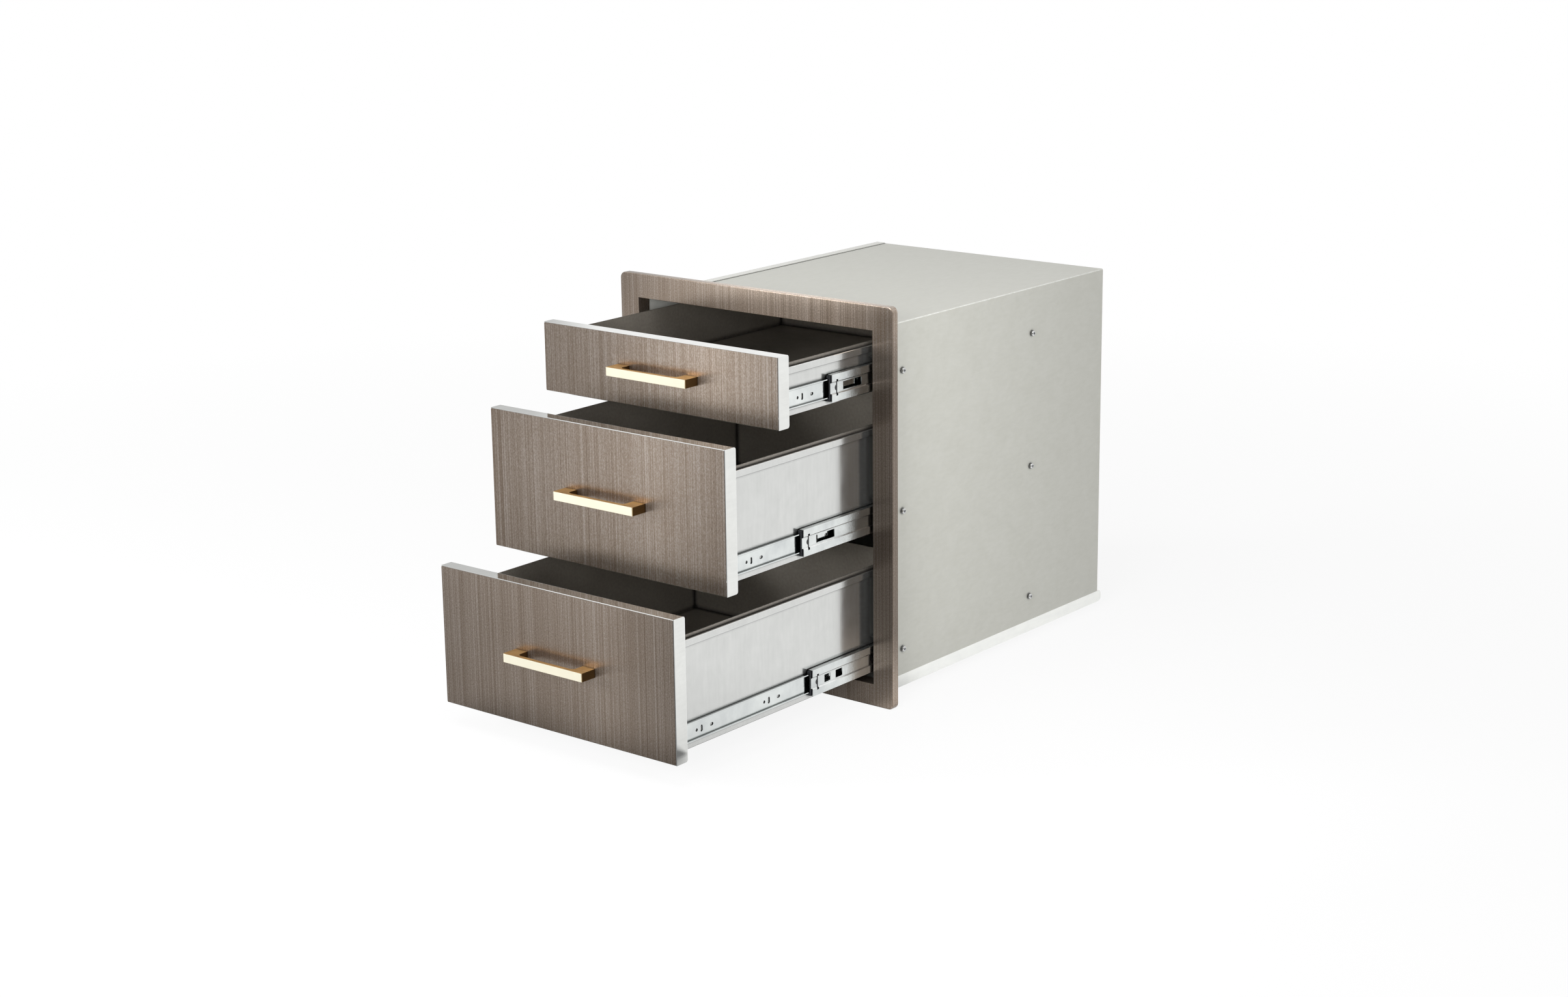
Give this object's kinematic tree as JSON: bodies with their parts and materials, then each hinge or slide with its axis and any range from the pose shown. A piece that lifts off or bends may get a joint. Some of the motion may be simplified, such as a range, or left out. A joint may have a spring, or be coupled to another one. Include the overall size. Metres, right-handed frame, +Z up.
{
  "type": "outdoor kitchen drawer unit",
  "caption": "Built-in outdoor kitchen drawer unit: bronze face frame and sheet casing with hairline drawer fronts, brass bar handles and dark trays on full-extension ball slides.",
  "frame": {"origin": "middle of the bottom rail's rear hem on the face frame, in the plane that seats on the kitchen's front", "axes": "+X to the right seen from the front, +Y into the kitchen, +Z up; the drawers pull out along -Y"},
  "size_m": [0.475, 0.9899, 0.55],
  "materials": {
    "bronze_steel": "bronze-brown coated stainless steel with a coarse upright hairline",
    "casing_steel": "matt sheet steel",
    "rail_steel": "pale satin sheet steel",
    "pan_steel": "bright satin stainless steel",
    "plate_steel": "bright satin stainless steel",
    "tray_steel": "dark coated sheet, semi-gloss",
    "slide_steel": "bright zinc plated steel",
    "ball_steel": "polished steel",
    "screw_steel": "bright stainless steel",
    "black_plastic": "black moulded plastic",
    "brass": "satin brass"
  },
  "bodies": {
    "housing": {"face_frame": "bronze_steel", "casing_wrap": "casing_steel", "casing_left_side": "casing_steel", "casing_bottom": "casing_steel", "casing_back": "casing_steel", "base_rail_right": "rail_steel", "base_rail_left": "rail_steel", "side_screws": "screw_steel", "side_washers": "screw_steel", "top_drawer_outer_slide_right": "slide_steel", "top_drawer_outer_slide_left": "slide_steel", "middle_drawer_outer_slide_right": "slide_steel", "middle_drawer_outer_slide_left": "slide_steel", "bottom_drawer_outer_slide_right": "slide_steel", "bottom_drawer_outer_slide_left": "slide_steel"},
    "top_drawer": {"top_drawer_front_pan": "pan_steel", "top_drawer_front_skin": "bronze_steel", "top_drawer_handle": "brass", "top_drawer_handle_screws": "screw_steel", "top_drawer_tray": "tray_steel", "top_drawer_side_plate_right": "plate_steel", "top_drawer_inner_slide_right": "slide_steel", "top_drawer_side_plate_left": "plate_steel", "top_drawer_inner_slide_left": "slide_steel"},
    "top_middle_slides": {"top_drawer_middle_slide_right": "slide_steel", "top_drawer_middle_slide_left": "slide_steel", "top_drawer_end_stops": "black_plastic", "top_drawer_ball_cages": "slide_steel", "top_drawer_slide_balls": "ball_steel"},
    "middle_drawer": {"middle_drawer_front_pan": "pan_steel", "middle_drawer_front_skin": "bronze_steel", "middle_drawer_handle": "brass", "middle_drawer_handle_screws": "screw_steel", "middle_drawer_tray": "tray_steel", "middle_drawer_side_plate_right": "plate_steel", "middle_drawer_inner_slide_right": "slide_steel", "middle_drawer_side_plate_left": "plate_steel", "middle_drawer_inner_slide_left": "slide_steel"},
    "middle_middle_slides": {"middle_drawer_middle_slide_right": "slide_steel", "middle_drawer_middle_slide_left": "slide_steel", "middle_drawer_end_stops": "black_plastic", "middle_drawer_ball_cages": "slide_steel", "middle_drawer_slide_balls": "ball_steel"},
    "bottom_drawer": {"bottom_drawer_front_pan": "pan_steel", "bottom_drawer_front_skin": "bronze_steel", "bottom_drawer_handle": "brass", "bottom_drawer_handle_screws": "screw_steel", "bottom_drawer_tray": "tray_steel", "bottom_drawer_side_plate_right": "plate_steel", "bottom_drawer_inner_slide_right": "slide_steel", "bottom_drawer_side_plate_left": "plate_steel", "bottom_drawer_inner_slide_left": "slide_steel"},
    "bottom_middle_slides": {"bottom_drawer_middle_slide_right": "slide_steel", "bottom_drawer_middle_slide_left": "slide_steel", "bottom_drawer_end_stops": "black_plastic", "bottom_drawer_ball_cages": "slide_steel", "bottom_drawer_slide_balls": "ball_steel"}
  },
  "joints": [
    {"name": "top_drawer_slide", "type": "slide", "parent": "housing", "child": "top_drawer", "axis": [0, -1, 0], "range_m": [-0.1929, 0.2571]},
    {"name": "top_middle_slide", "type": "slide", "parent": "housing", "child": "top_middle_slides", "axis": [0, -1, 0], "range_m": [-0.10805, 0.14399]},
    {"name": "middle_drawer_slide", "type": "slide", "parent": "housing", "child": "middle_drawer", "axis": [0, -1, 0], "range_m": [-0.2992, 0.1508]},
    {"name": "middle_middle_slide", "type": "slide", "parent": "housing", "child": "middle_middle_slides", "axis": [0, -1, 0], "range_m": [-0.16975, 0.08558]},
    {"name": "bottom_drawer_slide", "type": "slide", "parent": "housing", "child": "bottom_drawer", "axis": [0, -1, 0], "range_m": [-0.4014, 0.0486]},
    {"name": "bottom_middle_slide", "type": "slide", "parent": "housing", "child": "bottom_middle_slides", "axis": [0, -1, 0], "range_m": [-0.15375, 0.01866]}
  ],
  "couplings": [
    {"joint": "top_middle_slide", "follows": "top_drawer_slide", "ratio": 0.55988},
    {"joint": "middle_middle_slide", "follows": "middle_drawer_slide", "ratio": 0.56718},
    {"joint": "bottom_middle_slide", "follows": "bottom_drawer_slide", "ratio": 0.38291}
  ]
}
